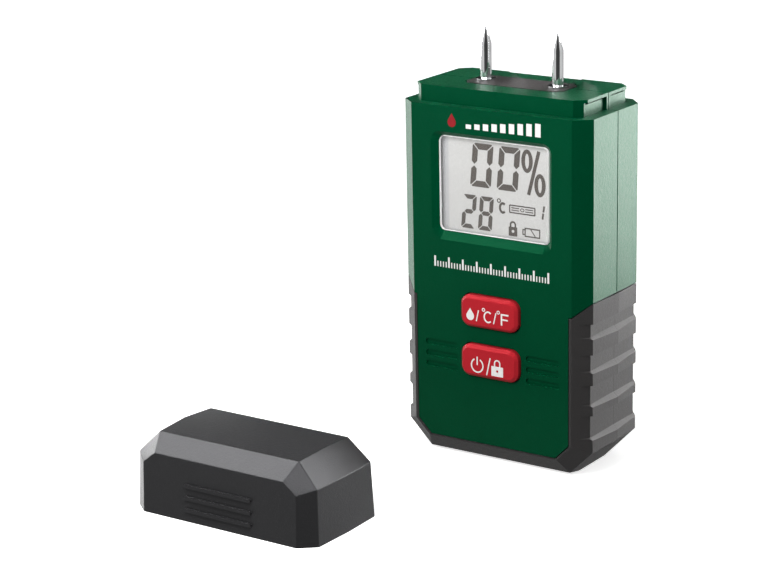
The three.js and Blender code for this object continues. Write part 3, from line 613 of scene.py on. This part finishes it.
def plate(name, shapes, y, thickness, material, body):
    """Builds shapes as thin solids whose backs lie on the plane y and whose faces look along -Y."""
    vertices = []
    faces = []
    for loops in shapes:
        start = len(vertices)
        flat = [point for loop in loops for point in loop]
        count = len(flat)
        for depth in (y - thickness, y):
            vertices += [(px * MM, depth * MM, pz * MM) for px, pz in flat]
        for corners in tessellate_polygon([[Vector((px, pz, 0)) for px, pz in loop] for loop in loops]):
            faces.append([start + corner for corner in corners])
            faces.append([start + count + corner for corner in reversed(corners)])
        first = start
        for loop in loops:
            size = len(loop)
            for i in range(size):
                j = (i + 1) % size
                faces.append([first + i, first + j, first + count + j, first + count + i])
            first += size
    mesh = bpy.data.meshes.new(name)
    mesh.from_pydata(vertices, [], faces)
    shape = bmesh.new()
    shape.from_mesh(mesh)
    bmesh.ops.recalc_face_normals(shape, faces=shape.faces)
    shape.to_mesh(mesh)
    shape.free()
    mesh.materials.append(material)
    piece = bpy.data.objects.new(name, mesh)
    bpy.context.scene.collection.objects.link(piece)
    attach(piece, body)
    return piece


# ------------------------------------------------------------------ what the display shows

INK = 0.03
DIGIT_LEAN = 0.085


def display_symbols():
    """Moisture above, wood temperature below, then a board, a group digit, a lock and a battery."""
    x, _, z = middle("display_window")
    y = front_of("lcd_panel")
    ink = printed("display_ink", "#4e4743", 0.45)

    def show(name, shapes):
        plate(name, moved(shapes, x, z), y, INK, ink, "casing")

    for name, left in (("moisture_tens", -6.85), ("moisture_units", -0.3)):
        show(name, moved(leaning(digit("0", 5.1, 9.45, 1.35, 0.15), DIGIT_LEAN), left, -0.35))
    show("percent_sign", [
        ring(7.15, 6.55, 1.38, 2.5, 0.9),
        bar(7.5, -0.6, 10.0, 8.9, 0.8),
        ring(10.25, 1.7, 1.36, 2.48, 0.9),
    ])
    for name, character, left in (("temperature_tens", "2", -9.2), ("temperature_units", "8", -5.0)):
        show(name, moved(leaning(digit(character, 3.4, 7.4, 0.95, 0.12), DIGIT_LEAN), left, -9.65))
    show("celsius_sign", degrees_celsius(0.25, -5.42, 1.75, 2.5, 0.52, 0.5))
    show("board_symbol", [
        box_outline(5.95, -4.1, 6.4, 1.85, 0.25, 0.27),
        bar(3.3, -3.85, 5.2, -3.85, 0.22),
        bar(3.3, -4.35, 5.2, -4.35, 0.22),
        ring(5.95, -4.1, 0.52, 0.4, 0.18),
        bar(6.7, -3.85, 8.6, -3.85, 0.22),
        bar(6.7, -4.35, 8.6, -4.35, 0.22),
    ])
    show("group_digit", [bar(11.25, -2.6, 11.08, -3.9, 0.42), bar(11.03, -4.15, 10.86, -5.45, 0.42)])
    show("lock_symbol", padlock(3.67, -8.97, 2.1, 2.0, 1.55, 1.25, 0.38, 0.33))
    show("battery_symbol", [
        box_outline(8.4, -8.73, 3.8, 2.0, 0.12, 0.28),
        bar(6.5, -9.24, 5.98, -9.24, 0.26),
        bar(6.1, -9.11, 6.1, -8.35, 0.26),
        bar(6.5, -8.22, 5.98, -8.22, 0.26),
        bar(7.95, -7.97, 9.15, -9.49, 0.22),
    ])


# ------------------------------------------------------------------ marks on the buttons and casing

def mode_marks(ink):
    """A drop for moisture and the two temperature units, between slashes."""
    x, _, z = middle("mode_button")
    low = -1.95
    shapes = [
        drop(-4.4, low + 0.98, 0.95, 1.75),
        bar(-2.88, low, -2.31, low + 2.5, 0.26),
        *degrees_celsius(-1.05, low, 2.05, 2.6, 0.33, 0.4),
        bar(1.42, low, 2.02, low + 2.5, 0.26),
        ring(2.6, low + 2.72, 0.4, 0.4, 0.19),
        bar(3.4, low, 3.4, low + 2.55, 0.36),
        bar(3.58, low + 2.38, 5.1, low + 2.38, 0.34),
        bar(3.58, low + 1.28, 4.95, low + 1.28, 0.32),
    ]
    y = front_of("mode_button")
    plate("mode_button_marks", moved(shapes, x, z), y, INK, ink, "mode_button")


def power_marks(ink):
    """The on and off sign, a slash and a padlock."""
    x, _, z = middle("power_button")
    shapes = [
        bow(-2.75, -0.8, 1.6, 1.66, 118, 422, 0.32),
        bar(-2.75, -0.72, -2.75, 1.15, 0.3),
        bar(-0.4, -2.6, 0.5, 1.32, 0.28),
        *padlock(2.25, -1.4, 2.9, 2.2, 1.6, 1.5, 0.3, 0.28),
    ]
    y = front_of("power_button")
    plate("power_button_marks", moved(shapes, x, z), y, INK, ink, "power_button")


def casing_marks(white):
    """A red drop and rising bars above the display, and a scale of ticks below it."""
    y = front_of("front_shell")
    red = printed("red_ink", "#7c141b")
    plate("casing_drop", [drop(-9.4, 74.7, 1.02, 1.95)], y, INK, red, "casing")
    bars = []
    bar_count = 9
    bar_bottom = 73.75
    for i in range(bar_count):
        x = -5.25 + 2.1 * i
        height = 0.9 + 1.9 * i / (bar_count - 1)
        bars.append(bar(x, bar_bottom, x, bar_bottom + height, 1.3))
    plate("casing_bars", bars, y, INK, white, "casing")
    ticks = []
    tick_count = 41
    tick_bottom = 42.9
    for i in range(tick_count):
        x = -14.0 + 28.0 * i / (tick_count - 1)
        height, width = (2.3, 0.42) if i % 5 == 0 else (1.2, 0.26)
        ticks.append(bar(x, tick_bottom, x, tick_bottom + height, width))
    plate("casing_scale", ticks, y, INK, white, "casing")


# ------------------------------------------------------------------ finishing the CAD pieces

def dress(names, material):
    """Gives CAD nodes one material."""
    for name in names:
        mesh = nodes[name].data
        mesh.materials.clear()
        mesh.materials.append(material)


def modifier_group(name):
    """An empty group of modifier nodes, with its way in and its way out."""
    group = bpy.data.node_groups.new(name, "GeometryNodeTree")
    group.interface.new_socket("Geometry", in_out="INPUT", socket_type="NodeSocketGeometry")
    group.interface.new_socket("Geometry", in_out="OUTPUT", socket_type="NodeSocketGeometry")
    enter = group.nodes.new("NodeGroupInput").outputs["Geometry"]
    leave = group.nodes.new("NodeGroupOutput").inputs["Geometry"]
    return group, enter, leave


def smooth_group(limit):
    """Modifier nodes that shade a piece smooth except across edges sharper than limit degrees."""
    group, enter, leave = modifier_group("smooth_by_angle")
    faces = group.nodes.new("GeometryNodeSetShadeSmooth")
    faces.domain = "FACE"
    edges = group.nodes.new("GeometryNodeSetShadeSmooth")
    edges.domain = "EDGE"
    angle = group.nodes.new("GeometryNodeInputMeshEdgeAngle")
    compare = group.nodes.new("FunctionNodeCompare")
    compare.operation = "LESS_EQUAL"
    compare.inputs["B"].default_value = math.radians(limit)
    link = group.links.new
    link(enter, faces.inputs["Geometry"])
    link(faces.outputs["Geometry"], edges.inputs["Geometry"])
    link(angle.outputs["Unsigned Angle"], compare.inputs["A"])
    link(compare.outputs["Result"], edges.inputs["Shade Smooth"])
    link(edges.outputs["Geometry"], leave)
    return group


def edge_marks(name, shortest, least, most):
    """Modifier nodes that mark edges longer than shortest, in mm, whose angle is from least to most."""
    group, enter, leave = modifier_group(name)
    link = group.links.new
    angle = group.nodes.new("GeometryNodeInputMeshEdgeAngle").outputs["Unsigned Angle"]
    ends = group.nodes.new("GeometryNodeInputMeshEdgeVertices")
    length = group.nodes.new("ShaderNodeVectorMath")
    length.operation = "DISTANCE"
    link(ends.outputs["Position 1"], length.inputs[0])
    link(ends.outputs["Position 2"], length.inputs[1])

    def compare(operation, value, limit):
        node = group.nodes.new("FunctionNodeCompare")
        node.operation = operation
        node.inputs["B"].default_value = limit
        link(value, node.inputs["A"])
        return node.outputs["Result"]

    def both(first, second):
        node = group.nodes.new("FunctionNodeBooleanMath")
        node.operation = "AND"
        link(first, node.inputs[0])
        link(second, node.inputs[1])
        return node.outputs["Boolean"]

    sharp = compare("GREATER_THAN", angle, math.radians(least))
    open_enough = compare("LESS_THAN", angle, math.radians(most))
    long = compare("GREATER_THAN", length.outputs["Value"], shortest * MM)
    store = group.nodes.new("GeometryNodeStoreNamedAttribute")
    store.data_type = "FLOAT"
    store.domain = "EDGE"
    store.inputs["Name"].default_value = "bevel_weight_edge"
    link(enter, store.inputs["Geometry"])
    link(both(both(sharp, open_enough), long), store.inputs["Value"])
    link(store.outputs["Geometry"], leave)
    return group


WELD_REACH = 0.001             # millimetres
FLAT_ANGLE = 0.5               # faces closer to one plane than this become one face
ROUND_ANGLE = 20               # edges sharper than this are rounded
SMOOTH_ANGLE = 32              # edges sharper than this stay sharp in the shading


def soften(names, width, shading, segments=2, marks=None):
    """Rounds edges of CAD nodes with modifiers: all sharp ones, or only those that marks picks.

    The rounding may not overlap itself, so a piece's short edges can hold its radius below width.
    """
    for name in names:
        piece = nodes[name]
        weld = piece.modifiers.new("weld", "WELD")
        weld.merge_threshold = WELD_REACH * MM
        flat = piece.modifiers.new("flat", "DECIMATE")
        flat.decimate_type = "DISSOLVE"
        flat.angle_limit = math.radians(FLAT_ANGLE)
        if marks:
            mark = piece.modifiers.new("mark", "NODES")
            mark.node_group = marks
        if width > 0:
            round_over = piece.modifiers.new("round", "BEVEL")
            round_over.width = width * MM
            round_over.segments = segments
            round_over.limit_method = "WEIGHT" if marks else "ANGLE"
            round_over.angle_limit = math.radians(ROUND_ANGLE)
        smooth = piece.modifiers.new("smooth", "NODES")
        smooth.node_group = shading
        normals = piece.modifiers.new("normals", "WEIGHTED_NORMAL")
        normals.keep_sharp = True


# ------------------------------------------------------------------ assembly

def pair(pattern):
    """The names of a left and a right piece."""
    return [pattern.format(side) for side in ("left", "right")]


GREEN = ["front_shell", "rear_shell", "battery_door"]
GRIP = ["front_grip", "rear_grip"]
CAP = ["protective_cap"]
RED = ["mode_button", "power_button"]
WINDOW = ["display_window"]
HOLDER = ["electrode_holder"]
SWITCHES = ["mode_switch", "power_switch"]
CHIPS = ["amplifier_chip", "temperature_sensor"]
WHITE = ["lcd_holder", "mode_plunger", "power_plunger"]
PINS = pair("{}_pin")
SOCKETS = pair("{}_socket")
STRIPS = pair("{}_contact_strip")
SPRINGS = ["lower_spring", "upper_spring"]
CRYSTAL = ["quartz_crystal"]
CONTROLLER = ["controller_chip"]
CONTACTS = ["battery_link", "negative_contact", "positive_contact"]
CELLS = ["battery_1", "battery_2"]
SCREWS = pair("board_screw_{}") + [f"case_screw_{number}" for number in range(1, 5)]


def dress_all():
    dress(GREEN, moulded("green_plastic", "#00321d", 0.42, 0.22, 2600.0, 0.00005))
    dress(GRIP, moulded("grip_rubber", "#2b2a2a", 0.55, 0.22, 3000.0, 0.00005))
    dress(CAP, moulded("cap_plastic", "#242425", 0.36, 0.25, 4200.0, 0.00005))
    dress(RED, moulded("red_plastic", "#9a1f27", 0.38, 0.22, 3200.0, 0.00001))
    dress(HOLDER, moulded("holder_plastic", "#272525", 0.5, 0.40, 3200.0, 0.00002))
    dress(SWITCHES + CHIPS, moulded("dark_plastic", "#232324", 0.5, 0.4, 4000.0, 0.00001))
    dress(WHITE, moulded("white_plastic", "#dcdcd8", 0.45, 0.4, 3000.0, 0.00001, 0.02))
    dress(PINS, metal("pin_steel", "#e4e5e6", 0.06, 1500.0, (1, 1, 0.12)))
    dress(SOCKETS, metal("brass", "#c9a050", 0.28, 1400.0))
    dress(STRIPS + CONTACTS + SPRINGS + CRYSTAL, metal("spring_steel", "#c3c5c6", 0.25, 1400.0))
    dress(SCREWS, metal("screw_steel", "#9a9ca0", 0.35, 1800.0))
    dress(WINDOW, clear_cover())
    dress(["lcd_panel"], display_glass())
    dress(["lcd_connector"], connector_material())
    dress(["circuit_board"], board_material())
    dress(CONTROLLER, potting())
    dress(CELLS, cell_material())


def round_all():
    """Widths in millimetres. The marks leave out short edges and, on the cap, square ones too."""
    shading = smooth_group(SMOOTH_ANGLE)
    soften(GREEN, 0.25, shading, marks=edge_marks("casing_edges", 10, ROUND_ANGLE, 180))
    soften(GRIP, 0.05, shading)
    soften(CAP, 0.2, shading, marks=edge_marks("cap_edges", 1.5, ROUND_ANGLE, 70))
    soften(RED, 0.25, shading, 3)
    soften(WINDOW, 0.35, shading, 3)
    soften(HOLDER + WHITE + SWITCHES + CHIPS, 0.1, shading)
    soften(["lcd_panel", "lcd_connector", "circuit_board"] + STRIPS + CONTACTS, 0.05, shading)
    soften(PINS + SOCKETS + SPRINGS + CELLS + SCREWS + CRYSTAL + CONTROLLER, 0, shading)


make_camera()
make_floor()
make_world()
make_key_light()
make_cards()
dress_all()
round_all()
display_symbols()
white_ink = printed("white_ink", "#cfcecc")
mode_marks(white_ink)
power_marks(white_ink)
casing_marks(white_ink)
